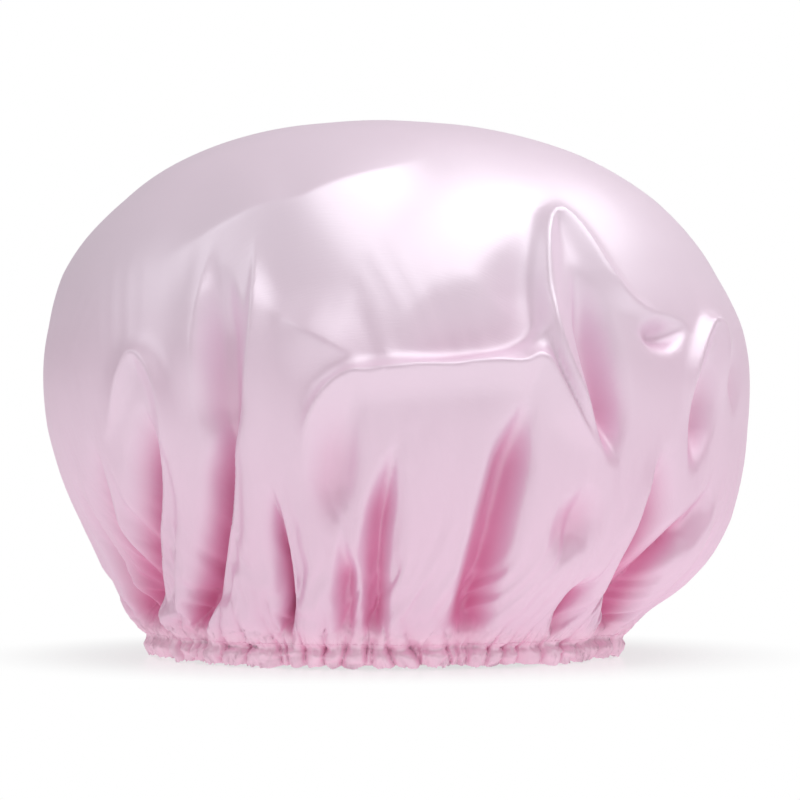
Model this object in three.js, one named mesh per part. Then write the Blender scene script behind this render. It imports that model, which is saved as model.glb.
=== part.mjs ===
// A gathered satin shower cap that stands on its elastic hem, in millimetres with +Z up and the front towards -Y.
import * as THREE from 'three';

// Overall shape of the cap.
const WIDTH = 280;
const DEPTH = 270;
const HEIGHT = 212;
const WIDEST_Z = 108;
// How far the crown leans over to the right of the hem.
const LEAN = 4.5;

// The hem that the cap stands on.
const HEM_DIAMETER = 180;
const HEM_HEIGHT = 9;
// How deep the edges of the cloth and the film sit in the mouth of the casing.
const TUCK = 2;

// Thicknesses of the sheets and the thread.
const SATIN = 0.6;
const FILM = 0.4;
const THREAD = 0.5;

// The elastic strip, and the length over which its two ends lie on each other at the nape.
const ELASTIC_WIDTH = 5;
const ELASTIC_THICK = 0.8;
const ELASTIC_LAP = 14;
const TACK_STITCHES = 5;

// The gap left between pieces that touch on the real cap.
const CLEAR = 0.3;

// Facets round the cap. Every ring has the same number, so that neighbours stay an even distance apart.
const FACETS = 56;
const LOWER_RINGS = 4;
const UPPER_RINGS = 6;
// Above 1, the upper rings lie closer together near the widest girth, where the folds are.
const RING_CROWDING = 1.2;
const THREAD_SIDES = 5;

const WIDEST_R = WIDTH / 2;
const HEM_R = HEM_DIAMETER / 2;
// Inner face of the outer leaf of the casing, and the outer face of the satin that is tucked inside it.
const LEAF_R = HEM_R - SATIN;
const EDGE_R = LEAF_R - CLEAR;
// The tunnel holds the lapped elastic and its tack. The mouth above it holds only the satin and the film.
const TUNNEL = 2 * ELASTIC_THICK + THREAD + 3 * CLEAR;
const MOUTH = SATIN + FILM + 3 * CLEAR;
const EDGE_Z = HEM_HEIGHT - TUCK;
const ELASTIC_Z = SATIN + CLEAR;
const STITCH_Z = HEM_HEIGHT - TUCK / 2;

// The main folds, read off the front in the photo: points of each valley's line to the right of the middle and above the
// ground, from its top down, then its depth and how far it reaches to the left and to the right.
const FOLDS = [
  { line: [[-54, 164], [-62, 140], [-65, 104], [-63, 66], [-73, 12]], depth: 11, left: 22, right: 14 },
  { line: [[-98, 118], [-90, 88], [-94, 44], [-81, 10]], depth: 9, left: 18, right: 14 },
  { line: [[-118, 86], [-106, 38], [-93, 10]], depth: 6, left: 14, right: 14 },
  { line: [[-45, 76], [-41, 43], [-37, 11]], depth: 7, left: 14, right: 14 },
  { line: [[-12, 72], [-12, 43], [-13, 10]], depth: 8, left: 15, right: 14 },
  { line: [[44, 88], [35, 62], [25, 10]], depth: 10, left: 14, right: 16 },
  { line: [[56, 172], [55, 147], [59, 118], [79, 82]], depth: 9, left: 28, right: 14 },
  { line: [[70, 152], [78, 108], [79, 66], [61, 11]], depth: 9, left: 14, right: 16 },
  { line: [[115, 132], [106, 83], [93, 40], [80, 11]], depth: 9, left: 14, right: 16 },
  { line: [[122, 66], [110, 34], [86, 9]], depth: 6, left: 14, right: 14 },
  // the break across the front, with its hollow above the line
  { line: [[-50, 133], [-18, 117], [21, 117], [46, 122]], depth: 8, left: 8, right: 30 },
];
// The length over which a fold fades in from the top of its line.
const FOLD_TAPER = 14;
// The folds fade out over this rise above the casing, which is round.
const HEM_FADE = 20;

// 0 below a, 1 above b and smooth between.
function ease(a, b, x) {
  const t = Math.min(Math.max((x - a) / (b - a), 0), 1);
  return t * t * (3 - 2 * t);
}

// How far a point of the front view lies from a line, above zero on its right going down, and how far along it.
function beside(line, x, z) {
  const nearest = { distance: Infinity, along: 0 };
  let passed = 0;
  for (let i = 1; i < line.length; i += 1) {
    const [ax, az] = line[i - 1];
    const [dx, dz] = [line[i][0] - ax, line[i][1] - az];
    const length = Math.hypot(dx, dz);
    const t = THREE.MathUtils.clamp(((x - ax) * dx + (z - az) * dz) / length ** 2, 0, 1);
    const [ex, ez] = [x - ax - t * dx, z - az - t * dz];
    const distance = Math.hypot(ex, ez);
    if (distance < Math.abs(nearest.distance)) {
      nearest.distance = distance * (Math.sign(dx * ez - dz * ex) || 1);
      nearest.along = passed + t * length;
    }
    passed += length;
  }
  return nearest;
}

// How far the cloth is drawn in at a point of the cap. The back, which the photo does not show, has the front's folds.
function foldDepth(x, y, z) {
  const across = y > 0 ? -x : x;
  let depth = 0;
  for (const { line, depth: deepest, left, right } of FOLDS) {
    const { distance, along } = beside(line, across, z);
    const share = Math.min(Math.abs(distance) / (distance > 0 ? right : left), 1);
    depth += deepest * (1 - share ** 2) ** 1.5 * ease(0, FOLD_TAPER, along);
  }
  const facing = ease(0.05, 0.45, Math.abs(y) / Math.hypot(x, y));
  return depth * facing * ease(HEM_HEIGHT, HEM_HEIGHT + HEM_FADE, z);
}

// The outside of the satin from its edge in the casing up to the middle of the crown.
function satinOutline() {
  const start = new THREE.Vector2(EDGE_R, HEM_HEIGHT + CLEAR);
  const widest = new THREE.Vector2(WIDEST_R, WIDEST_Z);
  const top = new THREE.Vector2(0, HEIGHT);
  const below = WIDEST_Z - start.y;
  const above = HEIGHT - WIDEST_Z;
  const lower = new THREE.CubicBezierCurve(
    start,
    new THREE.Vector2(start.x + (WIDEST_R - start.x) * 0.76, start.y + below * 0.2),
    new THREE.Vector2(WIDEST_R, WIDEST_Z - below * 0.25),
    widest,
  );
  const upper = new THREE.CubicBezierCurve(
    widest,
    new THREE.Vector2(WIDEST_R, WIDEST_Z + above * 0.36),
    new THREE.Vector2(WIDEST_R * 0.8, HEIGHT),
    top,
  );
  const points = [new THREE.Vector2(EDGE_R, EDGE_Z), ...lower.getSpacedPoints(LOWER_RINGS)];
  for (let i = 1; i <= UPPER_RINGS; i += 1) {
    points.push(upper.getPointAt((i / UPPER_RINGS) ** RING_CROWDING));
  }
  return points;
}

// The outline moved inwards by an even distance, with its ends kept level with the edge and on the axis.
function inset(outline, distance) {
  return outline.map((point, i) => {
    if (i === outline.length - 1) return new THREE.Vector2(0, point.y - distance);
    const ahead = outline[i + 1].clone().sub(point).normalize();
    const behind = i === 0 ? ahead : point.clone().sub(outline[i - 1]).normalize();
    const normal = new THREE.Vector2(-ahead.y - behind.y, ahead.x + behind.x);
    return point.clone().addScaledVector(normal, distance / (1 + ahead.dot(behind)));
  });
}

// A layer of the cap between two insets of the satin's outline, turned about the axis and then drawn into the folds.
// Both faces of every layer move together, so the layers keep their thickness and never cross.
function gatheredLayer(outerInset, innerInset) {
  const outline = satinOutline();
  const outer = inset(outline, outerInset);
  const inner = inset(outline, innerInset);
  const rings = outline.length;
  const profile = [...inner.reverse(), ...outer];
  const geometry = new THREE.LatheGeometry(profile, FACETS).rotateX(Math.PI / 2);
  const position = geometry.getAttribute('position');
  for (let i = 0; i < position.count; i += 1) {
    const j = i % profile.length;
    const z = outline[j < rings ? rings - 1 - j : j - rings].y;
    const rise = ease(HEM_HEIGHT, WIDEST_Z, z);
    const x = position.getX(i);
    const y = position.getY(i);
    const r = Math.hypot(x, y);
    const kept = r > 0 ? 1 - foldDepth(x, y, z) / r : 1;
    position.setX(i, x * kept + LEAN * rise);
    position.setY(i, y * kept * (1 + (DEPTH / WIDTH - 1) * rise));
  }
  geometry.setIndex(matchedFaces(profile.length, rings));
  return geometry;
}

// The faces of a turned layer, with every four-cornered patch split along the same line on both sides of the sheet.
function matchedFaces(count, rings) {
  const index = [];
  for (let i = 0; i < FACETS; i += 1) {
    for (let j = 0; j < count - 1; j += 1) {
      const a = i * count + j;
      const b = a + count;
      const inside = j < rings;
      index.push(a, b, inside ? b + 1 : a + 1, b + 1, a + 1, inside ? a : b);
    }
  }
  return index;
}

// The casing is a folded strip: an outer leaf, a flat fold to stand on, and an inner leaf that closes in on the film.
function casing() {
  const back = LEAF_R - TUNNEL;
  const lip = LEAF_R - MOUTH;
  const shoulder = ELASTIC_Z + ELASTIC_WIDTH + CLEAR;
  const profile = [
    [HEM_R, 0],
    [HEM_R, HEM_HEIGHT],
    [LEAF_R, HEM_HEIGHT],
    [LEAF_R, SATIN],
    [back, SATIN],
    [back, shoulder],
    [lip, EDGE_Z],
    [lip, HEM_HEIGHT],
    [lip - SATIN, HEM_HEIGHT],
    [lip - SATIN, EDGE_Z],
    [back - SATIN, shoulder],
    [back - SATIN, 0],
    [HEM_R, 0],
  ];
  const points = profile.map(([r, z]) => new THREE.Vector2(r, z));
  return new THREE.LatheGeometry(points, FACETS).rotateX(Math.PI / 2);
}

const ELASTIC_OUT = LEAF_R - CLEAR;
const ELASTIC_IN = ELASTIC_OUT - ELASTIC_THICK;
// Half of the gap between the two halves of the elastic at the sides, as an angle.
const SIDE_GAP = CLEAR / 2 / ELASTIC_IN;

function elastic(shape) {
  const geometry = new THREE.ExtrudeGeometry(shape, {
    depth: ELASTIC_WIDTH,
    bevelEnabled: false,
    curveSegments: FACETS / 4,
  });
  return geometry.translate(0, 0, ELASTIC_Z);
}

function elasticFront() {
  const shape = new THREE.Shape();
  shape.absarc(0, 0, ELASTIC_OUT, -Math.PI + SIDE_GAP, -SIDE_GAP, false);
  shape.absarc(0, 0, ELASTIC_IN, -SIDE_GAP, -Math.PI + SIDE_GAP, true);
  return elastic(shape);
}

// The back half carries the lap, where the second end lies on the inside of the first.
function elasticBack() {
  const lap = ELASTIC_LAP / 2 / ELASTIC_IN;
  const shape = new THREE.Shape();
  shape.absarc(0, 0, ELASTIC_OUT, SIDE_GAP, Math.PI - SIDE_GAP, false);
  shape.absarc(0, 0, ELASTIC_IN, Math.PI - SIDE_GAP, Math.PI / 2 + lap, true);
  shape.absarc(0, 0, ELASTIC_IN - ELASTIC_THICK, Math.PI / 2 + lap, Math.PI / 2 - lap, true);
  shape.absarc(0, 0, ELASTIC_IN, Math.PI / 2 - lap, SIDE_GAP, true);
  return elastic(shape);
}

function threadSection() {
  const shape = new THREE.Shape();
  shape.absarc(0, 0, THREAD / 2, 0, Math.PI * 2, false);
  return shape;
}

// The zigzag that holds the lap runs over its inner face.
function tack() {
  const radius = ELASTIC_IN - ELASTIC_THICK - CLEAR - THREAD / 2;
  const reach = (ELASTIC_LAP / 2 - THREAD) / radius;
  const swing = ELASTIC_WIDTH / 2 - THREAD;
  const middle = ELASTIC_Z + ELASTIC_WIDTH / 2;
  const points = [];
  for (let i = 0; i <= TACK_STITCHES; i += 1) {
    const angle = Math.PI / 2 - reach + (2 * reach * i) / TACK_STITCHES;
    const z = middle + (i % 2 === 0 ? -swing : swing);
    points.push(new THREE.Vector3(radius * Math.cos(angle), radius * Math.sin(angle), z));
  }
  return new THREE.ExtrudeGeometry(threadSection(), {
    steps: TACK_STITCHES * 5,
    curveSegments: 3,
    extrudePath: new THREE.CatmullRomCurve3(points),
  });
}

// One row of the hem seam, lying on a face of the casing.
function seamRow(radius) {
  return new THREE.TorusGeometry(radius, THREAD / 2, THREAD_SIDES, FACETS).translate(0, 0, STITCH_Z);
}

const PINK = 0xe3bfd2;
const cap = new THREE.Group();
cap.name = 'shower_cap';

function add(name, geometry, color, roughness) {
  const material = new THREE.MeshStandardMaterial({ name: `${name}_material`, color, roughness, metalness: 0 });
  const mesh = new THREE.Mesh(geometry, material);
  mesh.name = name;
  cap.add(mesh);
}

add('satin_shell', gatheredLayer(0, SATIN), PINK, 0.4);
add('waterproof_lining', gatheredLayer(SATIN + CLEAR, SATIN + CLEAR + FILM), 0xf2f0f1, 0.35);
add('hem_casing', casing(), PINK, 0.4);
add('elastic_front', elasticFront(), 0xf4f1ee, 0.8);
add('elastic_back', elasticBack(), 0xf4f1ee, 0.8);
add('elastic_tack', tack(), 0xf7f4f2, 0.6);
add('hem_needle_thread', seamRow(HEM_R + CLEAR + THREAD / 2), 0xe6c3d6, 0.6);
add('hem_bobbin_thread', seamRow(LEAF_R - MOUTH - SATIN - CLEAR - THREAD / 2), 0xe6c3d6, 0.6);

// The origin is in the middle of the cap's outline, on the surface it stands on.
const middle = new THREE.Box3().setFromObject(cap).getCenter(new THREE.Vector3());
cap.position.set(-middle.x, -middle.y, 0);

export default cap;
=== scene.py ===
import math

import bmesh
import bpy
import numpy as np
from mathutils import Matrix, Vector, noise
from mathutils.bvhtree import BVHTree


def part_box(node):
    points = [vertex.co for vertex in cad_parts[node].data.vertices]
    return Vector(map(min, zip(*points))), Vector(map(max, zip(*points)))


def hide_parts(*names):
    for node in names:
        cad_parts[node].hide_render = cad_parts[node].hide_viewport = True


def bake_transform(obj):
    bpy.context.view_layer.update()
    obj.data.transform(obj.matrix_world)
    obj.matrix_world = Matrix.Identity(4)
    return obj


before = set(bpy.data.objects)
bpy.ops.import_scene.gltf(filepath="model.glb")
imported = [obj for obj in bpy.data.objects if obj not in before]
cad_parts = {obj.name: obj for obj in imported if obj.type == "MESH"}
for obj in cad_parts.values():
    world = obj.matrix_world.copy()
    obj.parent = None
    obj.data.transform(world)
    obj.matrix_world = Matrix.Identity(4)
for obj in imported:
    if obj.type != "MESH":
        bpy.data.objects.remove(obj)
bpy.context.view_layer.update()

bl_info = {
    "name": "Satin shower cap",
    "version": (1, 0, 0),
    "blender": (4, 5, 0),
    "location": "View3D > Sidebar > Cap",
    "description": "Sews a satin shower cap with a film lining and an elastic hem",
    "category": "Object",
}

MM = 0.001

# The hem and the shell as they are packed. The shell's box is centred on the origin and the hem stands a little left.
HEM_LOW, HEM_HIGH = (np.array(corner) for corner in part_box("hem_casing"))
SHELL_LOW, SHELL_HIGH = (np.array(corner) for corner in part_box("satin_shell"))
HEM_X, HEM_Y = (HEM_LOW + HEM_HIGH)[:2] / 2
HEM_R = (HEM_HIGH[0] - HEM_LOW[0]) / 2
HEM_H = HEM_HIGH[2]
WIDE_R = (SHELL_HIGH[0] - SHELL_LOW[0]) / 2
DEEP = (SHELL_HIGH[1] - SHELL_LOW[1]) / (SHELL_HIGH[0] - SHELL_LOW[0])
TOP = SHELL_HIGH[2]
WIDEST_Z = 108 * MM

# The seam that holds the satin on the casing.
SEAM = HEM_H - 0.6 * MM
# Under the seam the satin goes on over the casing as a frill, from the first radius down to the second, where it turns
# under. It swells between the two.
FRILL_R = HEM_R + 4.6 * MM
TURN_R = HEM_R + 2.6 * MM
TURN_Z = 0.4 * MM
FRILL_SWELL = 1.2 * MM

# How full the outline's curves are, as shares of the way to their corners: at the crown, above and below the widest
# girth, and outwards and upwards from the seam.
CROWN_FULL, UPPER_FULL, LOWER_FULL, SEAM_OUT, SEAM_UP = 0.8, 0.36, 0.25, 0.74, 0.2

# The cap leans: how far its middle stands to the right at each height, both in mm.
LEANS = {9: 0, 22: 2.4, 38: 4.4, 54: 4.4, 72: 2.6, 90: 1.2, 130: 0, 150: -2.2, 165: -2.4, 180: -2, 200: -4, 212: -6}

# The picture is 800 pixels of 0.3966 mm each in the plane of the cap's axis.
PICTURE = 800 * 0.3966 * MM
CAMERA_AWAY = 1.6
CAMERA_X, CAMERA_Z = 2 * MM, 101 * MM
# How far below the table's line at the axis the front of the hem shows.
HEM_DROP = CAMERA_Z * CAMERA_AWAY / (CAMERA_AWAY - HEM_R) - CAMERA_Z

# The creases of the front as the camera sees them: points in mm to the right of the axis and above the front of the
# hem, then how far the cloth stands out along the line, below 0 for a valley, and over what widths that dies away: on
# the left and the right of a line drawn downwards, under and over one drawn to the right.
CREASES = [
    # the arch at the left, the valley inside it and the small pleats beside it
    ([(-116, 87), (-111, 105), (-107, 120), (-103, 126), (-97, 120), (-93, 109), (-91, 95), (-90, 77), (-92, 59),
      (-94, 42), (-91, 28)], 2.5, 6, 9),
    ([(-101, 107), (-96, 89), (-94, 71), (-96, 53), (-97, 38), (-94, 23), (-88, 12)], -9, 13, 5),
    ([(-122, 93), (-115, 75), (-110, 51), (-102, 28), (-96, 15)], -6, 10, 4),
    ([(-120, 97), (-113, 77), (-107, 55), (-99, 28)], 1.5, 4, 8),
    ([(-132, 71), (-125, 53), (-115, 34), (-103, 16)], -3, 6, 6),
    # the long fold that rises to a peak at the upper left, with its valleys and ridges
    ([(-67, 162), (-67, 145), (-67, 125), (-66, 96), (-66, 76)], -4.5, 14, 9),
    ([(-65, 104), (-66, 80), (-68, 55), (-73, 34), (-76, 12)], -8, 12, 5),
    ([(-55, 172), (-56, 151), (-57, 135), (-59, 118), (-61, 98), (-62, 83), (-62, 70), (-65, 50), (-71, 28)],
     2.5, 4, 14),
    ([(-70, 172), (-76, 155), (-79, 131), (-81, 99)], 2, 16, 10),
    # the crease over the crown
    ([(-97, 160), (-82, 168), (-61, 177), (-50, 181), (-39, 182), (-25, 189), (-9, 195), (6, 201), (17, 205)],
     4, 34, 30),
    # the break across the front: its lip with a peak at each end, the edge of the panel above and the pocket below
    ([(-38, 83), (-35, 99), (-27, 111), (-18, 117), (-11, 117), (3, 119), (22, 120), (40, 122), (50, 120), (58, 125),
      (65, 114), (73, 98), (84, 83)], 3.5, 12, 8),
    ([(-52, 144), (-39, 135), (-25, 127), (-8, 121)], 2.2, 18, 26),
    ([(-14, 110), (-22, 92), (-26, 72), (-28, 48)], -3, 14, 12),
    # the tall fold at the right, the bowl beside it that runs on over the lip, its foot and the hollow inside
    ([(84, 88), (75, 105), (67, 123), (61, 143), (59, 162), (60, 178), (65, 181), (75, 170), (86, 151), (97, 143),
      (111, 140)], 3.5, 8, 7),
    ([(56, 178), (55, 162), (56, 148), (54, 136), (42, 130), (20, 126), (-4, 123)], -2.8, 32, 8),
    ([(59, 140), (62, 129), (67, 116), (73, 103), (80, 91)], -3, 5, 4),
    ([(70, 162), (77, 139), (82, 115), (86, 91), (87, 79)], -7, 8, 10),
    # the dent and the peak at the right edge, and the hollows inside and behind the peak
    ([(95, 137), (106, 134), (117, 136)], -4, 10, 6),
    ([(114, 95), (117, 113), (121, 129), (126, 140), (130, 132), (130, 115), (129, 99)], 3, 5, 6),
    ([(125, 131), (123, 111), (120, 91), (117, 75)], -5, 5, 6),
    ([(134, 135), (135, 119), (134, 99)], -3, 5, 4),
    # the gathers above the hem
    ([(-50, 76), (-46, 59), (-42, 40), (-41, 12)], -8, 9, 3),
    ([(-47, 75), (-43, 59), (-39, 38), (-38, 16)], 1.5, 3, 10),
    ([(-21, 54), (-20, 40), (-20, 28), (-19, 10)], -5, 7, 7),
    ([(0, 90), (-4, 72), (-7, 58), (-8, 45), (-8, 30), (-9, 10)], -6, 8, 7),
    ([(54, 110), (47, 90), (41, 68), (36, 48), (30, 25), (26, 10)], -7, 9, 11),
    ([(81, 75), (71, 59), (62, 40)], -3, 10, 12),
    ([(80, 39), (69, 26), (60, 10)], -7, 4, 9),
    ([(108, 91), (101, 63), (92, 38), (78, 12)], -9, 4, 12),
    ([(105, 91), (98, 63), (89, 38)], 2, 10, 4),
    ([(127, 75), (117, 57), (103, 40), (84, 12)], -8, 8, 4),
    ([(130, 71), (120, 53), (106, 36)], 2, 4, 7),
]

# A crease dies away over this share of its length, but over so many mm at most if it is narrower than the last value.
TAPER, TAPER_MOST, BROAD = 0.45, 30, 25

# The gathers of the sides, which the picture doesn't show: degrees from the front, positive on the right, then depth,
# length and half width in mm.
SIDE_GATHERS = [(73, 3, 60, 7), (83, 5, 105, 10), (93, 3.2, 65, 7), (102, 4.5, 90, 9),
                (-74, 3.2, 70, 7), (-83, 4, 60, 8), (-93, 5, 110, 10), (-104, 3.6, 75, 8)]

# What the painted light by height reaches on the body, which is pinker there as painted shade. On the frill it goes on
# to 1, lighter there as painted light.
PAINTED_BODY_SHARE = 0.8

# How firmly the cloth is held to the creases while it settles, and the shares of them put in before and after that.
HELD, DRAWN, PRESSED = 0.85, 0.8, 1.5

# Where the hem is pinched along the front, in mm to the right of the axis.
PINCHES = [-94, -87, -83, -79, -76, -73, -65, -56, -45, -42, -35, -27, -19, -11, -9, -3, 6, 20, 24, 28, 36, 42, 47,
           56, 64, 70, 79, 83]


def linear(hex_colour):
    """An sRGB hex colour as linear red, green, blue and alpha."""
    channels = [int(hex_colour[i:i + 2], 16) / 255 for i in (1, 3, 5)]
    return tuple(c / 12.92 if c <= 0.04045 else ((c + 0.055) / 1.055) ** 2.4 for c in channels) + (1.0,)


def measure(name, description, mm):
    """A length that a user can change."""
    return bpy.props.FloatProperty(name=name, description=description, default=mm * MM, unit="LENGTH")


class CapSizes(bpy.types.PropertyGroup):
    """Sizes of the cloth, the film, the elastic and the thread."""

    rings: bpy.props.IntProperty(
        name="Cloth rings", description="Rings of cloth from the crown to the hem", default=62, min=24, max=64)
    satin_thickness: measure("Satin", "Thickness of the satin", 0.35)
    film_thickness: measure("Film", "Thickness of the lining film", 0.2)
    film_gap: measure("Film gap", "Space between the satin and the film", 1.2)
    hem_fullness: bpy.props.FloatProperty(
        name="Hem fullness", description="Length of cloth drawn into each length of hem", default=1.5, min=1, max=3)
    side_fullness: bpy.props.FloatProperty(
        name="Side fullness", description="Spare cloth at the widest girth, as a share", default=0.03, min=0, max=0.5)
    pucker_count: bpy.props.IntProperty(
        name="Puckers", description="Puckers round the casing", default=62, min=40, max=160)
    pucker_depth: measure("Pucker depth", "How far a pucker of the casing stands out", 5)
    elastic_width: measure("Elastic width", "Width of the braided elastic", 5)
    elastic_thickness: measure("Elastic thickness", "Thickness of the elastic", 0.7)
    elastic_lap: measure("Elastic lap", "Length over which the ends of the elastic lie on each other", 14)
    stitch: measure("Stitch", "Length of one stitch of the hem seam", 2.8)
    thread: measure("Thread", "Diameter of the sewing thread", 0.3)


def dyed(name, description, hex_colour):
    """A colour that a user can change."""
    return bpy.props.FloatVectorProperty(
        name=name, description=description, subtype="COLOR", size=4, min=0, max=1, default=linear(hex_colour))


class CapColours(bpy.types.PropertyGroup):
    """Colours of the cap and of the floor it stands on."""

    satin: dyed("Satin", "Colour of the satin", "#f0d8e8")
    # The gathered, frill and fold colours are painted light and shade: pinker lower down and deep in folds, lighter on
    # the frill.
    satin_painted_body_shade: dyed("Satin gather", "Colour of the satin where it is gathered", "#eab8d3")
    satin_painted_frill_light: dyed("Satin frill", "Colour of the satin at the hem", "#fcc6de")
    satin_painted_fold_shade: dyed("Satin fold", "Colour of the satin deep in a fold", "#e68cb6")
    film: dyed("Film", "Colour of the lining film", "#f3f1f2")
    elastic: dyed("Elastic", "Colour of the elastic", "#f4f1ee")
    thread: dyed("Thread", "Colour of the hem thread", "#f6c6de")
    table: dyed("Table", "Grey of the light table that the cap stands on", "#b4b4b4")
    floor: dyed("Floor", "White of the floor that the camera sees", "#f9f9f9")


def ease(low, high, value):
    """0 below low, 1 above high and smooth between."""
    t = np.clip((value - low) / (high - low), 0, 1)
    return t * t * (3 - 2 * t)


def bezier(points, count):
    """Points along a cubic curve."""
    a, b, c, d = (np.array(p) for p in points)
    t = np.linspace(0, 1, count)[:, None]
    return (1 - t) ** 3 * a + 3 * (1 - t) ** 2 * t * b + 3 * (1 - t) * t ** 2 * c + t ** 3 * d


def meridian(frill):
    """The outline from the crown to the seam, or to the foot of the frill: length along it, radius and height, and the
    length down to the widest girth."""
    top = TOP - 0.5 * MM
    below = WIDEST_Z - SEAM
    above = top - WIDEST_Z
    count = 200
    upper = bezier([(0, top), (WIDE_R * CROWN_FULL, top), (WIDE_R, WIDEST_Z + above * UPPER_FULL),
                    (WIDE_R, WIDEST_Z)], count)
    lower = bezier([(WIDE_R, WIDEST_Z), (WIDE_R, WIDEST_Z - below * LOWER_FULL),
                    (FRILL_R + (WIDE_R - FRILL_R) * SEAM_OUT, SEAM + below * SEAM_UP), (FRILL_R, SEAM)], count)
    foot = [(TURN_R, TURN_Z)] if frill else []
    outline = np.vstack([upper, lower[1:], *foot])
    along = np.concatenate([[0], np.cumsum(np.linalg.norm(np.diff(outline, axis=0), axis=1))])
    return along, outline[:, 0], outline[:, 1], along[len(upper) - 1]


def pinches(count):
    """Angles from the front at which the hem is pinched: those seen, and others spaced unevenly behind."""
    front = []
    for across in PINCHES:
        x = across * MM
        # The nearer, the larger it looks, so its place is found in a few rounds.
        for _ in range(4):
            turn = math.asin(max(-1.0, min(1.0, (x - HEM_X) / HEM_R)))
            nearness = CAMERA_AWAY / (CAMERA_AWAY - HEM_R * math.cos(turn))
            x = CAMERA_X + (across * MM - CAMERA_X) / nearness
        front.append(turn)
    gaps = np.random.default_rng(11).uniform(0.45, 1.55, count - len(front) + 1)
    behind = front[-1] + np.cumsum(gaps)[:-1] / gaps.sum() * (front[0] + 2 * math.pi - front[-1])
    return np.sort(np.concatenate([front, behind]) % (2 * math.pi))


def puckers(angle, count):
    """How full the hem is at an angle, from 0 at a pinch to 1 on the largest pucker. No two puckers are alike."""
    ends = pinches(count)
    size = np.random.default_rng(5).uniform(0.7, 1.0, count)
    lean = np.random.default_rng(7).uniform(0.7, 1.4, count)
    which = np.searchsorted(ends, angle % (2 * np.pi)) % count
    start = ends[which - 1]
    wide = (ends[which] - start) % (2 * np.pi)
    t = ((angle - start) % (2 * np.pi) / wide).clip(0, 1) ** lean[which]
    # A pucker narrower than 6 mm stands out less.
    grown = np.clip(wide * HEM_R / (6 * MM), 0.6, 1.0)
    return size[which] * grown * (4 * t * (1 - t)).clip(0, 1) ** 0.4


def pinch(angle, height, sizes):
    """How far the hem is drawn in at an angle and a height in mm. The pleats lean a little to one side or the other."""
    lean = (0.25 * np.sin(4 * angle + 0.7) + 0.3 * np.sin(11 * angle)) * (height * MM - SEAM) / HEM_R
    return sizes.pucker_depth * (1 - puckers(angle + lean * ease(40, 20, height), sizes.pucker_count))


def scallop(angle, drawn):
    """How far the foot of the hem lifts off the ground at an angle where it is drawn in so far."""
    return 0.4 * drawn + 0.3 * MM * (1 + np.sin(9 * angle) * np.sin(4 * angle + 1))


def beside(line, across, height):
    """For points of the picture: the distance to a line, positive on its left as it is drawn, and the way along it."""
    nearest = np.full(across.shape, 1e9)
    side = np.zeros(across.shape)
    along = np.zeros(across.shape)
    passed = 0.0
    for (ax, ay), (bx, by) in zip(line, line[1:]):
        dx, dy = bx - ax, by - ay
        length = math.hypot(dx, dy)
        t = np.clip(((across - ax) * dx + (height - ay) * dy) / length ** 2, 0, 1)
        ex, ey = across - (ax + t * dx), height - (ay + t * dy)
        distance = np.hypot(ex, ey)
        closer = distance < nearest
        nearest[closer] = distance[closer]
        side[closer] = np.sign(dx * ey - dy * ex)[closer]
        along[closer] = passed + t[closer] * length
        passed += length
    return nearest * side, along, passed


def curved(line):
    """A line with its corners cut twice, which leaves it smooth."""
    points = np.array(line, dtype=float)
    for _ in range(2):
        cuts = np.stack([0.75 * points[:-1] + 0.25 * points[1:], 0.25 * points[:-1] + 0.75 * points[1:]], 1)
        points = np.vstack([points[:1], cuts.reshape(-1, 2), points[-1:]])
    return points


def relief(across, height):
    """How far the creases stand out at points of the picture, and how near the nearest is, in mm."""
    out = np.zeros_like(across)
    nearest = np.full(across.shape, 1e9)
    for line, stands, left, right in CREASES:
        distance, along, length = beside(curved(line), across, height)
        away = np.abs(distance)
        narrow = min(left, right)
        taper = TAPER * length if narrow >= BROAD else min(TAPER_MOST, TAPER * length)
        ends = ease(0, taper, along)
        # A valley that comes down to the hem runs on into a pucker.
        if line[-1][1] > 20:
            ends = ends * ease(0, taper, length - along)
        # It narrows towards its ends.
        t = np.clip(away / (np.where(distance > 0, right, left) * (0.4 + 0.6 * ends)), 0, 1)
        # A valley that is open on both sides is rounded, and any other line is sharp.
        share = 1 - ease(0.1, 1, t) if stands < 0 and narrow >= 5 else (1 - t) ** 1.8
        out += stands * share * ends
        nearest = np.minimum(nearest, away)
    return out, nearest


def side_gathers(places):
    """How far the gathers of the sides draw points of the cap in, in mm below 0."""
    height = places[:, 2] / MM
    angle = np.degrees(np.arctan2(places[:, 0] - HEM_X, HEM_Y - places[:, 1]))
    out = np.zeros(len(places))
    for turn, depth, length, wide in SIDE_GATHERS:
        # It narrows as it rises, and leans by up to 6 degrees: the sine only scatters that.
        rise = np.clip((height - HEM_H / MM) / length, 0, 1)
        away = np.radians(np.abs(angle - turn - 6 * math.sin(turn) * rise)) * HEM_R / MM
        out -= depth * (1 - ease(0.1, 1, away / (wide * (1 - 0.5 * rise)))) * ease(1, 0.2, rise)
    return out


def creased(places):
    """For points of the cap: the way out, how far the creases stand out and how near the nearest is. They are those of
    the front, the same the other way round at the back, and the gathers of the sides."""
    across, height = seen(places)
    across = np.where(places[:, 1] > 0, -across, across)
    outward = places - np.array([HEM_X, HEM_Y, 0.5 * WIDEST_Z])
    outward /= np.linalg.norm(outward, axis=1)[:, None]
    # Those of the front die away towards the sides.
    facing = ease(0.05, 0.45, np.abs(outward[:, 1]))
    above = ease(HEM_H - 4 * MM, HEM_H + 10 * MM, places[:, 2])
    out, nearest = relief(across, height)
    out = out * facing + side_gathers(places)
    return outward, out * MM * above, nearest * MM


def points_of(mesh):
    """The places of a mesh's points, one row each."""
    places = np.empty(len(mesh.vertices) * 3)
    mesh.vertices.foreach_get("co", places)
    return places.reshape(-1, 3)


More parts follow.
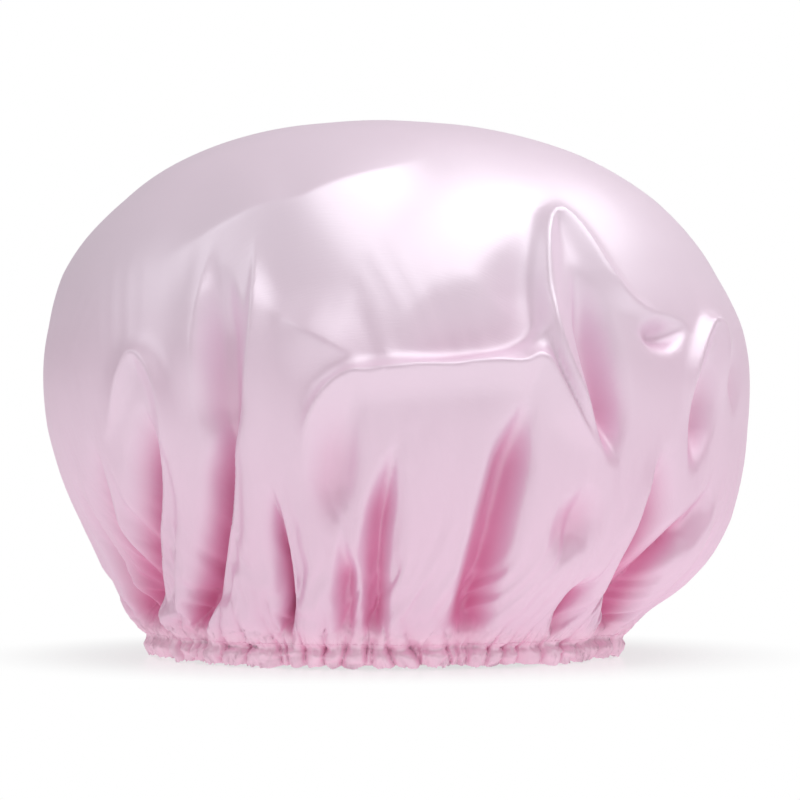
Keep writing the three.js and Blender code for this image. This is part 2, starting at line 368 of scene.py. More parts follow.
def mesh_of(bm, mesh):
    """Puts a bmesh into a mesh, or into a new one of that name."""
    if isinstance(mesh, str):
        mesh = bpy.data.meshes.new(mesh)
    bm.to_mesh(mesh)
    bm.free()
    return mesh


def round_cut(rings):
    """A disc of even triangles, as a bmesh, with each vertex's share of the way out and its angle from the front."""
    bm = bmesh.new()
    bmesh.ops.create_circle(bm, cap_ends=True, cap_tris=True, segments=6, radius=1.0)
    bmesh.ops.subdivide_edges(bm, edges=bm.edges, cuts=rings - 1, use_grid_fill=True)
    place = np.array([v.co[:2] for v in bm.verts])
    corner = place[np.argmax(np.hypot(*place.T))]
    turn = (np.arctan2(place[:, 1], place[:, 0]) - math.atan2(corner[1], corner[0])) % (2 * np.pi)
    sixth = np.pi / 3
    sector = np.floor(turn / sixth + 1e-9) % 6
    local = turn - sector * sixth
    reach = np.hypot(*place.T)
    second = reach * np.sin(local) / np.sin(sixth)
    first = reach * np.cos(local) - second * np.cos(sixth)
    out = np.clip(first + second, 0, 1)
    part = np.where(out > 1e-9, second / np.maximum(first + second, 1e-9), 0)
    # One corner of the disc lies on the long fold at the left of the front.
    angle = ((sector + part) * sixth - math.radians(31)) % (2 * np.pi)
    return bm, out, angle


def placed(radius, height, angle):
    """Points of the cap from radius, height and angle, with the crown leaning and a little less deep than wide."""
    rise = ease(HEM_H, 45 * MM, height)
    x = radius * np.sin(angle) + HEM_X * (1 - rise)
    y = -radius * np.cos(angle) * (1 + (DEEP - 1) * rise) + HEM_Y
    return np.stack([x, y, height], 1)


def seen(points):
    """Points as the camera sees them, in mm to the right of the axis and above the front of the hem."""
    scale = CAMERA_AWAY / (CAMERA_AWAY - np.abs(points[:, 1]))
    across = CAMERA_X + (points[:, 0] - CAMERA_X) * scale
    height = CAMERA_Z + (points[:, 2] - CAMERA_Z) * scale + HEM_DROP
    return across / MM, height / MM


def draw_in(mesh, start, drawn, hold):
    """Cloth that starts full and has its hem drawn in: the places of its points once it has settled."""
    # It settles at ten times its size, and is drawn in by the first of these frames and at rest by the last.
    scale, drawn_by, last = 10.0, 31, 50
    mesh = mesh.copy()
    mesh.vertices.foreach_set("co", (start * scale).ravel())
    cloth = bpy.data.objects.new("cloth_study", mesh)
    scene = bpy.context.scene
    scene.collection.objects.link(cloth)
    cloth.shape_key_add(name="full")
    key = cloth.shape_key_add(name="drawn")
    key.data.foreach_set("co", (drawn * scale).ravel())
    key.value = 0.0
    key.keyframe_insert("value", frame=1)
    key.value = 1.0
    key.keyframe_insert("value", frame=drawn_by)
    group = cloth.vertex_groups.new(name="held")
    for i in np.flatnonzero(hold):
        group.add([int(i)], float(hold[i]), "REPLACE")
    modifier = cloth.modifiers.new("Cloth", "CLOTH")
    settings = modifier.settings
    settings.quality = 6
    settings.mass = 0.3
    settings.tension_stiffness = settings.compression_stiffness = 15
    settings.shear_stiffness = settings.bending_stiffness = 5
    settings.air_damping = 2
    settings.vertex_group_mass = "held"
    settings.use_pressure = True
    settings.uniform_pressure_force = 0.8
    settings.effector_weights.gravity = 0
    modifier.collision_settings.use_collision = False
    modifier.point_cache.frame_end = last
    for number in range(1, last + 1):
        scene.frame_set(number)
    places = points_of(cloth.evaluated_get(bpy.context.evaluated_depsgraph_get()).data)
    scene.frame_set(1)
    bpy.data.objects.remove(cloth)
    bpy.data.meshes.remove(mesh)
    return places / scale


def taken_from(study):
    """The mesh that an object comes to with its modifiers or bevel. The object is removed."""
    bpy.context.scene.collection.objects.link(study)
    mesh = bpy.data.meshes.new_from_object(study.evaluated_get(bpy.context.evaluated_depsgraph_get()))
    bpy.data.objects.remove(study)
    return mesh


def refined(mesh):
    """The mesh with each face divided once and smoothed."""
    coarse = bpy.data.objects.new("coarse_cloth", mesh)
    smooth = coarse.modifiers.new("Subdivision", "SUBSURF")
    smooth.levels = smooth.render_levels = 1
    fine = taken_from(coarse)
    bpy.data.meshes.remove(mesh)
    return fine


def rumple(places, angle):
    """Slight unevenness of the cloth: broad on the crown and drawn out above the hem."""
    broad = [noise.noise(Vector(place) / (30 * MM)) for place in places]
    streak = [noise.noise((12 * a, z / (40 * MM), 0)) for a, z in zip(angle, places[:, 2])]
    low = ease(130, 50, places[:, 2] / MM)
    return (0.5 * np.array(broad) + low * np.array(streak)) * MM * ease(HEM_H, HEM_H + 12 * MM, places[:, 2])


def crumple(angle, rise):
    """Small sharp creases of the frill and just over the seam, at an angle and a height in mm over it."""
    depth, round_hem, up = 1.5 * MM, 32, 0.06
    turn = angle + 0.03 * rise * np.sin(7 * angle + 2)
    sharp = [1 - 2 * abs(noise.noise((round_hem * a, up * z, 3))) for a, z in zip(turn, rise)]
    return depth * np.array(sharp) * ease(12, 1, rise)


def finer(mesh):
    """Divides the faces once more along the creases, in the valleys and at the hem of the front."""
    places = points_of(mesh)
    _, out, nearest = creased(places)
    near = (nearest < 6 * MM) | (out < -1.5 * MM) | (places[:, 2] < HEM_H + 6 * MM)
    near &= places[:, 1] < -20 * MM
    bm = bmesh.new()
    bm.from_mesh(mesh)
    bm.verts.index_update()
    edges = [edge for edge in bm.edges if all(near[v.index] for v in edge.verts)]
    made = bmesh.ops.subdivide_edges(bm, edges=edges, cuts=1, use_grid_fill=True)
    new = [item for item in made["geom_inner"] if isinstance(item, bmesh.types.BMVert)]
    bmesh.ops.smooth_vert(bm, verts=new, factor=0.5, use_axis_x=True, use_axis_y=True, use_axis_z=True)
    return mesh_of(bm, mesh)


def press_folds(mesh, sizes):
    """Leans the settled cloth, gathers it into the hem, presses the folds in and marks painted shade by how deep they
    are and painted light by height.
    """
    places = points_of(mesh)
    height = places[:, 2] / MM
    places[:, 0] += np.interp(height, list(LEANS), list(LEANS.values())) * MM
    outward, out, _ = creased(places)
    level = places[:, :2] - (HEM_X, HEM_Y)
    radius = np.linalg.norm(level, axis=1)
    level /= np.maximum(radius, 1e-6)[:, None]
    angle = np.arctan2(level[:, 0], -level[:, 1])
    rise = height - SEAM / MM
    upwards = np.clip(rise, 0, None)
    downwards = np.clip(-rise * MM / (SEAM - TURN_Z), 0, 1)

    # Close to the hem the cloth rises outwards at a half right angle, and under the seam it hangs as the frill. Between
    # them the thread pulls an uneven groove, up to 2 mm deep.
    from_hem = FRILL_R + (upwards + 1.2 * (1 - np.exp(-upwards / 1.2))) * MM
    from_hem += (TURN_R - FRILL_R) * downwards + FRILL_SWELL * np.sin(np.pi * downwards)
    from_hem -= (1 + np.sin(5 * angle + 1) * np.sin(13 * angle)) * MM * np.exp(-(rise / 1.6) ** 2)
    radius += (1 - ease(3, 20, rise)) * (from_hem - radius)
    # Pleats run up from the pinches, some 7 mm and some 29 mm, but not into a valley.
    reach = 18 + 11 * np.sin(5 * angle + 1) * np.sin(3 * angle)
    pleat = pinch(angle, height, sizes) * np.clip(1 - upwards / reach, 0, 1) ** 1.2 * ease(-4 * MM, 0, out)
    radius -= pleat * (1 + 0.25 * np.exp(-(rise / 1.5) ** 2))
    places[:, :2] = (HEM_X, HEM_Y) + level * radius[:, None]
    places[:, 2] += scallop(angle, pleat) * downwards

    places += outward * (PRESSED * out + rumple(places, angle) + crumple(angle, rise))[:, None]
    mesh.vertices.foreach_set("co", places.ravel())
    bm = bmesh.new()
    bm.from_mesh(mesh)
    inner = [v for v in bm.verts if not v.is_boundary]
    bmesh.ops.smooth_vert(bm, verts=inner, factor=0.2, use_axis_x=True, use_axis_y=True, use_axis_z=True)
    mesh_of(bm, mesh)
    # Painted shade for the folds: a crease drawn 7 mm deep counts in full, and a pleat for less. The crown has none.
    deep = np.maximum(ease(0, 7 * MM, -out), 0.4 * pleat / sizes.pucker_depth)
    mark(mesh, "painted_fold_shade", deep * ease(170, 15, height))
    # Painted light by height: pale on the crown, pinker down the body as painted shade and lighter on the frill as
    # painted light.
    mark(mesh, "painted_light_by_height", PAINTED_BODY_SHARE * ease(170, 45, height) + (1 - PAINTED_BODY_SHARE) * ease(18, 9, height))
    return mesh


def mark(mesh, name, values):
    """Keeps a value from 0 to 1 at each point of a mesh for its material."""
    attribute = mesh.attributes.new(name, "FLOAT", "POINT")
    attribute.data.foreach_set("value", np.clip(values, 0, 1))


def linked(name, mesh):
    """A new object at the origin for a mesh, with smooth faces."""
    piece = bpy.data.objects.new(name, mesh)
    bpy.context.scene.collection.objects.link(piece)
    mesh.shade_smooth()
    return piece


def stretches(piece, slot, *nodes):
    """The piece stands for CAD nodes: its place is baked into its mesh and the nodes are hidden. The slot is not used.
    """
    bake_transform(piece)
    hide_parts(*nodes)


def node(tree, kind, settings=(), **links):
    """Adds a node, sets its properties and inputs, and links inputs, by name or as input_1, to outputs."""
    made = tree.nodes.new(kind)
    for name, value in dict(settings).items():
        if name in made.inputs:
            made.inputs[name].default_value = value
        else:
            setattr(made, name, value)
    for name, output in links.items():
        by_number = name.startswith("input_")
        tree.links.new(output, made.inputs[int(name[6:]) if by_number else name.replace("_", " ")])
    return made


def material(name):
    """An empty material and its node tree."""
    made = bpy.data.materials.new(name)
    made.use_nodes = True
    made.node_tree.nodes.clear()
    return made, made.node_tree


def woven_satin(colours):
    """Polyester satin: long floats of bright yarn give a broad soft gloss over a pale ground, whose colour carries
    painted light and shade.
    """
    made, tree = material("polyester_satin")
    cut = node(tree, "ShaderNodeUVMap", {"uv_map": "cut"})
    # Floats are about 0.1 mm wide. They are drawn 0.7 mm wide and 7 mm long so that they show.
    floats = node(tree, "ShaderNodeMapping", {"Scale": (1 / (7 * MM), 1 / (0.7 * MM), 1)}, Vector=cut.outputs["UV"])
    yarn = node(tree, "ShaderNodeTexNoise", {"Scale": 1.0, "Detail": 2.0}, Vector=floats.outputs["Vector"])
    # The dye takes a little unevenly over some 60 mm.
    broad = node(tree, "ShaderNodeMapping", {"Scale": (1 / (60 * MM),) * 3}, Vector=cut.outputs["UV"])
    dye = node(tree, "ShaderNodeTexNoise", {"Scale": 1.0, "Detail": 2.0}, Vector=broad.outputs["Vector"])
    shade = node(tree, "ShaderNodeMapRange", {"To Min": 0.96, "To Max": 1.03}, Value=dye.outputs["Fac"])
    # Painted light and shade: the colour is paler on the crown, pinker down the body and lighter on the frill, and
    # pinker again deep in a fold, where the light would meet the dye more than once.
    painted_light_by_height = node(tree, "ShaderNodeAttribute", {"attribute_name": "painted_light_by_height"})
    ground = node(tree, "ShaderNodeValToRGB", Fac=painted_light_by_height.outputs["Fac"])
    stops = ground.color_ramp.elements
    stops.new(PAINTED_BODY_SHARE)
    for stop, colour in zip(stops, (colours.satin, colours.satin_painted_body_shade, colours.satin_painted_frill_light)):
        stop.color = colour
    hollow = node(tree, "ShaderNodeAttribute", {"attribute_name": "painted_fold_shade"})
    deep = node(tree, "ShaderNodeMix", {"data_type": "RGBA"}, Factor=hollow.outputs["Fac"],
                input_6=ground.outputs["Color"])
    deep.inputs[7].default_value = colours.satin_painted_fold_shade
    tone = node(tree, "ShaderNodeHueSaturation", Color=deep.outputs[2], Value=shade.outputs["Result"])
    gloss = node(tree, "ShaderNodeMapRange", {"To Min": 0.4, "To Max": 0.5}, Value=yarn.outputs["Fac"])
    relief = node(tree, "ShaderNodeBump", {"Strength": 0.2, "Distance": 0.2 * MM}, Height=yarn.outputs["Fac"])
    # Painted shade: deep in a fold the gloss is turned down, as the cloth there mirrors only itself.
    painted_fold_gloss = node(tree, "ShaderNodeMapRange", {"To Min": 0.55, "To Max": 0.1}, Value=hollow.outputs["Fac"])
    surface = node(
        tree, "ShaderNodeBsdfPrincipled",
        {"IOR": 3.3, "Specular Tint": linear("#f8f7ff"), "Sheen Weight": 0.1, "Sheen Tint": linear("#fbeef6")},
        Base_Color=tone.outputs["Color"], Roughness=gloss.outputs["Result"], Normal=relief.outputs["Normal"],
        Specular_IOR_Level=painted_fold_gloss.outputs["Result"])
    node(tree, "ShaderNodeOutputMaterial", Surface=surface.outputs["BSDF"])
    return made


def finished(tree, colour, pattern, shades, relief, settings, **links):
    """Ends a material of one colour. Its pattern shades it between two shares and stands out by a strength and mm."""
    shade = node(tree, "ShaderNodeMapRange", {"To Min": shades[0], "To Max": shades[1]}, Value=pattern)
    tone = node(tree, "ShaderNodeHueSaturation", {"Color": colour}, Value=shade.outputs["Result"])
    bump = node(tree, "ShaderNodeBump", {"Strength": relief[0], "Distance": relief[1] * MM}, Height=pattern)
    surface = node(tree, "ShaderNodeBsdfPrincipled", settings, Base_Color=tone.outputs["Color"],
                   Normal=bump.outputs["Normal"], **links)
    node(tree, "ShaderNodeOutputMaterial", Surface=surface.outputs["BSDF"])


def frosted_film(colours):
    """EVA film, calendered: a milky, slightly see-through skin with a fine matt grain."""
    made, tree = material("frosted_eva_film")
    place = node(tree, "ShaderNodeTexCoord")
    grain = node(tree, "ShaderNodeTexNoise", {"Scale": 1 / (1.2 * MM), "Detail": 3.0}, Vector=place.outputs["Object"])
    gloss = node(tree, "ShaderNodeMapRange", {"To Min": 0.3, "To Max": 0.5}, Value=grain.outputs["Fac"])
    finished(tree, colours.film, grain.outputs["Fac"], (0.97, 1.02), (0.15, 0.1),
             {"IOR": 1.48, "Transmission Weight": 0.25}, Roughness=gloss.outputs["Result"])
    return made


def braided_elastic(colours):
    """Braided elastic: matt white yarn in ribs along the strip, crossed by the braid."""
    made, tree = material("braided_elastic")
    place = node(tree, "ShaderNodeTexCoord")
    # Ribs are about 0.7 mm apart. They are drawn 2 pi times as coarse so that they show.
    ribs = node(tree, "ShaderNodeTexWave", {"bands_direction": "Z", "Scale": 1 / (0.7 * MM) / 20, "Distortion": 1.0},
                Vector=place.outputs["Object"])
    finished(tree, colours.elastic, ribs.outputs["Fac"], (0.9, 1.0), (0.5, 0.2), {"Roughness": 0.8})
    return made


def spun_thread(name, colour):
    """Polyester sewing thread: two plies with a slight gloss and fine shading from the twist."""
    made, tree = material(name)
    place = node(tree, "ShaderNodeTexCoord")
    twist = node(tree, "ShaderNodeTexNoise", {"Scale": 1 / (0.5 * MM), "Detail": 2.0}, Vector=place.outputs["Object"])
    finished(tree, colour, twist.outputs["Fac"], (0.88, 1.05), (0.3, 0.1), {"Roughness": 0.55})
    return made


class CAP_OT_satin_shell(bpy.types.Operator):
    """Cuts the satin, draws its hem in and lets it settle into gathers"""

    bl_idname = "cap.satin_shell"
    bl_label = "Satin shell"

    def execute(self, context):
        sizes = context.scene.cap_sizes
        bm, out, angle = round_cut(sizes.rings)
        along, radius, height, to_widest = meridian(frill=True)
        length = along[-1]
        way = out * length
        layer = bm.loops.layers.uv.new("cut")
        flat = np.stack([way * np.sin(angle), -way * np.cos(angle)], 1)
        bm.verts.index_update()
        for face in bm.faces:
            for loop in face.loops:
                loop[layer].uv = flat[loop.vert.index]
        mesh = mesh_of(bm, "satin_shell_cloth")

        # Before it is drawn in, the cloth is a dome on a straight skirt that has room for the gathers.
        steps = np.linspace(0, length, 800)
        full_r = np.interp(steps, along, radius)
        spare = sizes.side_fullness
        skirt = np.clip((steps - to_widest) / (length - to_widest), 0, 1)
        wide = WIDE_R * (1 + spare)
        full_r = np.where(steps < to_widest, full_r * (1 + spare * (steps / to_widest) ** 2),
                          wide + (FRILL_R * sizes.hem_fullness - wide) * skirt)
        fall = np.sqrt(np.clip(1 - np.gradient(full_r, steps) ** 2, 0, 1))
        full_z = TOP - np.concatenate([[0], np.cumsum((fall[1:] + fall[:-1]) / 2 * np.diff(steps))])
        front = ease(0.15, 0.6, np.abs(np.cos(angle)))
        start_r = np.interp(way, steps, full_r) * (1 - spare * (1 - front) * np.clip(way / to_widest, 0, 1) ** 2)
        start = np.stack([start_r * np.sin(angle), -start_r * np.cos(angle) * DEEP, np.interp(way, steps, full_z)], 1)

        # Drawn in, it follows the outline, the folds of the front and the puckers of the hem.
        r = np.interp(way, along, radius)
        z = np.interp(way, along, height)
        r = r - pinch(angle, z / MM, sizes) * ease(40, 12, z / MM)
        drawn = placed(r, z, angle)
        outward, out_by, _ = creased(drawn)
        drawn += DRAWN * outward * out_by[:, None]
        held = np.where(z < SEAM + 0.5 * MM, 1.0, HELD)
        places = draw_in(mesh, start, drawn, held)
        mesh.vertices.foreach_set("co", places.ravel())

        bm = bmesh.new()
        bm.from_mesh(mesh)
        bmesh.ops.join_triangles(bm, faces=bm.faces, angle_face_threshold=0.8, angle_shape_threshold=2.0)
        bmesh.ops.recalc_face_normals(bm, faces=bm.faces)
        mesh = press_folds(finer(refined(mesh_of(bm, mesh))), sizes)
        mesh.name = "satin_shell_cloth"
        piece = linked("satin_shell_cloth", mesh)
        mesh.materials.append(woven_satin(context.scene.cap_colours))
        stretches(piece, "satin", "satin_shell")
        return {"FINISHED"}


class CAP_OT_waterproof_lining(bpy.types.Operator):
    """Lays the film inside the satin, where it follows the broad folds only"""

    bl_idname = "cap.waterproof_lining"
    bl_label = "Waterproof lining"

    def execute(self, context):
        sizes = context.scene.cap_sizes
        outside = BVHTree.FromObject(bpy.data.objects["satin_shell_cloth"], context.evaluated_depsgraph_get())
        bm, out, angle = round_cut(sizes.rings)
        along, radius, height, _ = meridian(frill=False)
        way = out * along[-1]
        places = placed(np.interp(way, along, radius), np.interp(way, along, height), angle)
        middle = np.array([HEM_X, HEM_Y, 0.75 * WIDEST_Z])
        rays = places - middle
        reach = np.linalg.norm(rays, axis=1)
        rays /= reach[:, None]
        bm.verts.index_update()
        edges = np.array([[v.index for v in edge.verts] for edge in bm.edges])
        room = np.empty(len(rays))
        for i, ray in enumerate(rays):
            distance = outside.ray_cast(Vector(middle), Vector(ray))[3]
            room[i] = (reach[i] if distance is None else distance) - sizes.film_gap
        # The film spans the narrow folds of the satin: it keeps to the least room nearby and evens out.
        draws, evens = 3, 8
        film = room.copy()
        for _ in range(draws):
            least = film.copy()
            np.minimum.at(least, edges[:, 0], film[edges[:, 1]])
            np.minimum.at(least, edges[:, 1], film[edges[:, 0]])
            film = least
        ends = np.bincount(edges.ravel(), minlength=len(film))
        for _ in range(evens):
            total = np.bincount(edges[:, 0], film[edges[:, 1]], len(film))
            total += np.bincount(edges[:, 1], film[edges[:, 0]], len(film))
            film = np.minimum(0.4 * film + 0.6 * total / ends, room)
        places = middle + rays * film[:, None]
        rim = out > 1 - 1e-6
        edge_r = FRILL_R - sizes.pucker_depth - sizes.satin_thickness - 2 * sizes.film_gap
        places[rim] = placed(np.full(rim.sum(), edge_r), np.full(rim.sum(), HEM_H), angle[rim])
        for v, place in zip(bm.verts, places):
            v.co = place
        bmesh.ops.recalc_face_normals(bm, faces=bm.faces)
        mesh = mesh_of(bm, "waterproof_lining_film")
        piece = linked("waterproof_lining_film", mesh)
        mesh.materials.append(frosted_film(context.scene.cap_colours))
        wall = piece.modifiers.new("Solidify", "SOLIDIFY")
        wall.thickness, wall.offset = sizes.film_thickness, -1
        stretches(piece, "film", "waterproof_lining")
        return {"FINISHED"}


class CAP_OT_hem_casing(bpy.types.Operator):
    """Folds the satin strip over the elastic and puckers it"""

    bl_idname = "cap.hem_casing"
    bl_label = "Hem casing"

    def execute(self, context):
        sizes = context.scene.cap_sizes
        # The strip's section in mm from the hem's outer edge: down the outside, under the elastic and up the inside.
        section = [(2.2, 8.6), (2.1, 7.6), (1.7, 6.4), (1.2, 5.2), (0.6, 4.0), (0.0, 2.8), (-0.6, 1.7), (-1.2, 0.8),
                   (-1.9, 0.2), (-3.2, 0), (-4.7, 0.4), (-5.5, 1.6), (-5.8, 3.2), (-5.8, 5.0), (-5.5, 6.8), (-4.8, 8.6)]
        section = [(HEM_R + r * MM, z * MM) for r, z in section]
        steps = 480
        bm = bmesh.new()
        verts = [bm.verts.new((0, -r, z)) for r, z in section]
        edges = [bm.edges.new(pair) for pair in zip(verts, verts[1:])]
        bmesh.ops.spin(bm, geom=verts + edges, cent=(0, 0, 0), axis=(0, 0, 1), dvec=(0, 0, 0),
                       angle=2 * math.pi, steps=steps, use_merge=True, use_duplicate=False)
        bmesh.ops.recalc_face_normals(bm, faces=bm.faces)
        front = min(bm.faces, key=lambda face: face.calc_center_median().y)
        if front.normal.y > 0:
            bmesh.ops.reverse_faces(bm, faces=bm.faces)
        layer = bm.loops.layers.uv.new("cut")
        for face in bm.faces:
            for loop in face.loops:
                x, y, z = loop.vert.co
                loop[layer].uv = (z + math.hypot(x, y), math.atan2(x, -y) * HEM_R)
        mesh = mesh_of(bm, "hem_casing_cloth")
        co = points_of(mesh)
        angle = np.arctan2(co[:, 0], -co[:, 1])
        radius = np.hypot(co[:, 0], co[:, 1])
        # The pinches draw the outside in, and push the inside out by less.
        outside = ease(HEM_R - 5 * MM, HEM_R + 0.5 * MM, radius)
        drawn = pinch(angle, co[:, 2] / MM, sizes)
        radius = radius - drawn * outside + 0.4 * drawn * (1 - outside)
        lift = scallop(angle, drawn) * (1 - np.clip(co[:, 2] / HEM_H, 0, 1))
        co = np.stack([radius * np.sin(angle) + HEM_X, -radius * np.cos(angle) + HEM_Y, co[:, 2] + lift], 1)
        mesh.vertices.foreach_set("co", co.ravel())
        # Painted shade in the pinches, and the frill's painted light over the whole casing.
        mark(mesh, "painted_fold_shade", (drawn / sizes.pucker_depth) ** 2)
        mark(mesh, "painted_light_by_height", np.ones(len(co)))
        piece = linked("hem_casing_cloth", mesh)
        mesh.materials.append(bpy.data.materials["polyester_satin"])
        smooth = piece.modifiers.new("Subdivision", "SUBSURF")
        smooth.levels = smooth.render_levels = 1
        wall = piece.modifiers.new("Solidify", "SOLIDIFY")
        wall.thickness, wall.offset = sizes.satin_thickness, -1
        stretches(piece, "satin", "hem_casing")
        return {"FINISHED"}


def tube(name, points, diameter, closed):
    """A round thread along points, as a mesh."""
    curve = bpy.data.curves.new(name, "CURVE")
    curve.dimensions = "3D"
    curve.bevel_depth = diameter / 2
    curve.bevel_resolution = 1
    curve.use_fill_caps = not closed
    spline = curve.splines.new("POLY")
    spline.points.add(len(points) - 1)
    spline.points.foreach_set("co", np.hstack([points, np.ones((len(points), 1))]).ravel())
    spline.use_cyclic_u = closed
    mesh = taken_from(bpy.data.objects.new(name, curve))
    bpy.data.curves.remove(curve)
    mesh.name = name
    return mesh


class CAP_OT_elastic(bpy.types.Operator):
    """Runs the elastic through the casing, laps its ends at the nape and tacks them"""

    bl_idname = "cap.elastic"
    bl_label = "Elastic"

    def execute(self, context):
        sizes = context.scene.cap_sizes
        colours = context.scene.cap_colours
        # It runs in the casing, a little below the middle of the hem.
        radius, middle = HEM_R - 4.3 * MM, HEM_H * 0.42
        lap = sizes.elastic_lap / radius
        half, thick = sizes.elastic_width / 2, sizes.elastic_thickness
        steps = 260
        # A rounded strip end, stood at the nape and spun past a full turn.
        bm = bmesh.new()
        bmesh.ops.create_grid(bm, x_segments=1, y_segments=1, size=0.5)
        bmesh.ops.scale(bm, vec=(thick, 2 * half, 1), verts=bm.verts)
        bmesh.ops.bevel(bm, geom=bm.verts, offset=thick * 0.4, affect="VERTICES", segments=3, profile=0.5, material=-1)
        bmesh.ops.rotate(bm, verts=bm.verts, cent=(0, 0, 0), matrix=Matrix.Rotation(math.pi / 2, 3, "X"))
        bmesh.ops.translate(bm, verts=bm.verts, vec=(radius, 0, middle))
        bmesh.ops.rotate(bm, verts=bm.verts, cent=(0, 0, 0), matrix=Matrix.Rotation((math.pi - lap) / 2, 3, "Z"))
        around = len(bm.verts)
        bmesh.ops.spin(bm, geom=[*bm.verts, *bm.edges, *bm.faces], cent=(0, 0, 0), axis=(0, 0, 1), dvec=(0, 0, 0),
                       angle=2 * math.pi + lap, steps=steps, use_merge=False, use_duplicate=False)
        if len(bm.verts) != around * (steps + 1):
            raise RuntimeError("the elastic did not spin into one strip")
        # The last stretch of the strip lies on the inside of the first. It rises there between these shares of its way.
        raise_by = thick + 0.12 * MM
        rises, lies = 0.93, 0.965
        for number, v in enumerate(bm.verts):
            share = float(ease(rises, lies, number // around / steps))
            level = v.co.copy()
            level.z = 0
            v.co -= level.normalized() * raise_by * share
        bmesh.ops.translate(bm, verts=bm.verts, vec=(HEM_X, HEM_Y, 0))
        bmesh.ops.recalc_face_normals(bm, faces=bm.faces)
        mesh = mesh_of(bm, "elastic_loop")
        piece = linked("elastic_loop", mesh)
        mesh.materials.append(braided_elastic(colours))
        stretches(piece, "elastic", "elastic_front", "elastic_back")

        # The tack is a zigzag that stays inside the lap and the edges of the strip.
        stitches, count = 5, 41
        across = np.linspace(-lap / 2 * 0.8, lap / 2 * 0.8, count)
        swing = half * 0.7 * (2 / np.pi) * np.arcsin(np.cos(np.linspace(0, stitches * np.pi, count)))
        inside = radius - raise_by - thick / 2 - sizes.thread * 0.6
        points = np.stack([inside * np.sin(across) + HEM_X, inside * np.cos(across) + HEM_Y, middle + swing], 1)
        piece = linked("elastic_tack_thread", tube("elastic_tack_thread", points, sizes.thread, False))
        piece.data.materials.append(spun_thread("white_sewing_thread", colours.elastic))
        stretches(piece, "white_thread", "elastic_tack")
        return {"FINISHED"}


class CAP_OT_hem_seam(bpy.types.Operator):
    """Sews the casing to the satin and the film with one row of lockstitch"""

    bl_idname = "cap.hem_seam"
    bl_label = "Hem seam"

    def execute(self, context):
        sizes = context.scene.cap_sizes
        graph = context.evaluated_depsgraph_get()
        outside = BVHTree.FromObject(bpy.data.objects["satin_shell_cloth"], graph)
        inside = BVHTree.FromObject(bpy.data.objects["hem_casing_cloth"], graph)
        stitches = round(2 * math.pi * HEM_R / sizes.stitch)
        points_each = 8
        angle = np.linspace(0, 2 * np.pi, stitches * points_each, endpoint=False)
        # The thread lies on the cloth for most of a stitch and dips where the needle went through.
        dip = np.clip(np.cos(angle * stitches) - 0.6, 0, 1) / 0.4
        made = spun_thread("pink_sewing_thread", context.scene.cap_colours.thread)
        centre = Vector((HEM_X, HEM_Y, SEAM))
        over_seam, start = Vector((0, 0, 1.2 * MM)), 30 * MM
        for name, node_name, inward in (("needle_thread_row", "hem_needle_thread", -1),
                                        ("bobbin_thread_row", "hem_bobbin_thread", 1)):
            points = []
            for a, down in zip(angle, dip):
                away = Vector((math.sin(a), -math.cos(a), 0))
                if inward < 0:
                    hit = outside.ray_cast(centre + over_seam + away * (HEM_R + start), -away)[0]
                else:
                    hit = inside.ray_cast(centre + away * (HEM_R - start), away)[0]
                if hit is None:
                    raise RuntimeError("the seam missed the casing")
                points.append(hit - inward * away * (0.02 * MM - sizes.thread * float(down)))
            mesh = tube(name, np.array(points), sizes.thread, True)
            piece = linked(name, mesh)
            mesh.materials.append(made)
            stretches(piece, "pink_thread", node_name)
        return {"FINISHED"}


# The lamps: place and width in metres, and power in watts.
LAMPS = (
    ("key_softbox", (0.3, -0.6, 1.1), 1.0, 5.5),
    ("top_softbox", (0.5, 0.1, 1.05), 0.7, 4),
    ("right_softbox", (1.3, -1.0, 0.15), 0.5, 0.4),
    ("left_softbox", (-1.2, -0.3, 0.9), 0.8, 2.5),
)
WHITE = linear("#ffffff")
# How brightly the room and the table light the cap, and the share of plain white in the floor seen close to it.
ROOM_LIGHT, TABLE_LIGHT, PLAIN_NEAR = 0.34, 0.65, 0.65


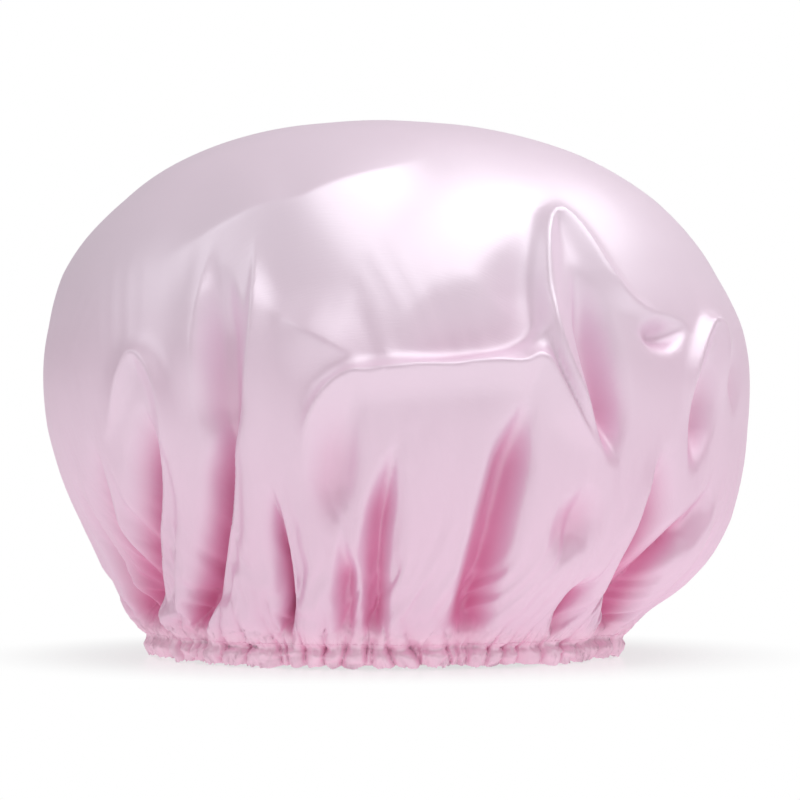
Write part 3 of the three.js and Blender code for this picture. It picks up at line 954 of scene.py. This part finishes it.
class CAP_OT_stage(bpy.types.Operator):
    """Sets the floor, the soft lights and the camera"""

    bl_idname = "cap.stage"
    bl_label = "Stage"

    def execute(self, context):
        scene = context.scene
        scene.view_settings.view_transform = "Standard"
        bm = bmesh.new()
        bmesh.ops.create_grid(bm, x_segments=1, y_segments=1, size=6.0)
        mesh = mesh_of(bm, "floor")
        floor = linked("floor", mesh)
        made, tree = material("white_floor")
        # The camera sees the floor as plain white but for a faint shadow and reflection round the cap.
        ray = node(tree, "ShaderNodeLightPath")
        place = node(tree, "ShaderNodeTexCoord")
        away = node(tree, "ShaderNodeVectorMath", {"operation": "LENGTH"}, input_0=place.outputs["Object"])
        plain = node(tree, "ShaderNodeMapRange",
                     {"From Min": HEM_R, "From Max": 2 * HEM_R, "To Min": PLAIN_NEAR, "To Max": 1.0,
                      "interpolation_type": "SMOOTHSTEP"}, Value=away.outputs["Value"])
        lit = node(tree, "ShaderNodeBsdfPrincipled", {"Base Color": scene.cap_colours.floor, "Roughness": 0.2})
        white = node(tree, "ShaderNodeEmission", {"Strength": 1.0})
        shown = node(tree, "ShaderNodeMixShader", Fac=plain.outputs["Result"], input_1=lit.outputs["BSDF"],
                     input_2=white.outputs["Emission"])
        # For the cap it is a light table, which fills the underside of the folds.
        glow = node(tree, "ShaderNodeBsdfPrincipled",
                    {"Base Color": scene.cap_colours.table, "Roughness": 0.3, "Emission Color": WHITE,
                     "Emission Strength": TABLE_LIGHT})
        mix = node(tree, "ShaderNodeMixShader", Fac=ray.outputs["Is Camera Ray"], input_1=glow.outputs["BSDF"],
                   input_2=shown.outputs["Shader"])
        node(tree, "ShaderNodeOutputMaterial", Surface=mix.outputs["Shader"])
        mesh.materials.append(made)

        world = bpy.data.worlds.new("studio")
        scene.world = world
        world.use_nodes = True
        tree = world.node_tree
        tree.nodes.clear()
        ray = node(tree, "ShaderNodeLightPath")
        soft = node(tree, "ShaderNodeBackground", {"Color": WHITE, "Strength": ROOM_LIGHT})
        white = node(tree, "ShaderNodeBackground", {"Color": WHITE, "Strength": 1.0})
        mix = node(tree, "ShaderNodeMixShader", Fac=ray.outputs["Is Camera Ray"],
                   input_1=soft.outputs["Background"], input_2=white.outputs["Background"])
        node(tree, "ShaderNodeOutputWorld", Surface=mix.outputs["Shader"])

        middle = Vector((0, 0, TOP / 2))
        for name, place, size, power in LAMPS:
            lamp = bpy.data.lights.new(name, "AREA")
            lamp.energy = power
            lamp.size = size
            holder = bpy.data.objects.new(name, lamp)
            holder.location = place
            holder.rotation_euler = (middle - Vector(place)).to_track_quat("-Z", "Y").to_euler()
            scene.collection.objects.link(holder)

        lens = bpy.data.cameras.new("camera")
        lens.lens = lens.sensor_width * CAMERA_AWAY / PICTURE
        camera = bpy.data.objects.new("camera", lens)
        camera.location = (CAMERA_X, -CAMERA_AWAY, CAMERA_Z)
        camera.rotation_euler = (math.pi / 2, 0, 0)
        scene.collection.objects.link(camera)
        scene.camera = camera
        return {"FINISHED"}


OPERATORS = (CAP_OT_satin_shell, CAP_OT_waterproof_lining, CAP_OT_hem_casing, CAP_OT_elastic, CAP_OT_hem_seam,
             CAP_OT_stage)


class CAP_PT_sidebar(bpy.types.Panel):
    """Lists the pieces of the cap with their sizes and colours"""

    bl_label = "Shower cap"
    bl_idname = "CAP_PT_sidebar"
    bl_space_type = "VIEW_3D"
    bl_region_type = "UI"
    bl_category = "Cap"

    def draw(self, context):
        for group in (context.scene.cap_sizes, context.scene.cap_colours):
            box = self.layout.box()
            for name in group.__annotations__:
                box.prop(group, name)
        for operator in OPERATORS:
            self.layout.operator(operator.bl_idname)


CLASSES = (CapSizes, CapColours, *OPERATORS, CAP_PT_sidebar)


def register():
    for item in CLASSES:
        bpy.utils.register_class(item)
    bpy.types.Scene.cap_sizes = bpy.props.PointerProperty(type=CapSizes)
    bpy.types.Scene.cap_colours = bpy.props.PointerProperty(type=CapColours)


def unregister():
    del bpy.types.Scene.cap_colours
    del bpy.types.Scene.cap_sizes
    for item in reversed(CLASSES):
        bpy.utils.unregister_class(item)


def main():
    register()
    bpy.ops.cap.satin_shell()
    bpy.ops.cap.waterproof_lining()
    bpy.ops.cap.hem_casing()
    bpy.ops.cap.elastic()
    bpy.ops.cap.hem_seam()
    bpy.ops.cap.stage()


if __name__ == "__main__":
    main()
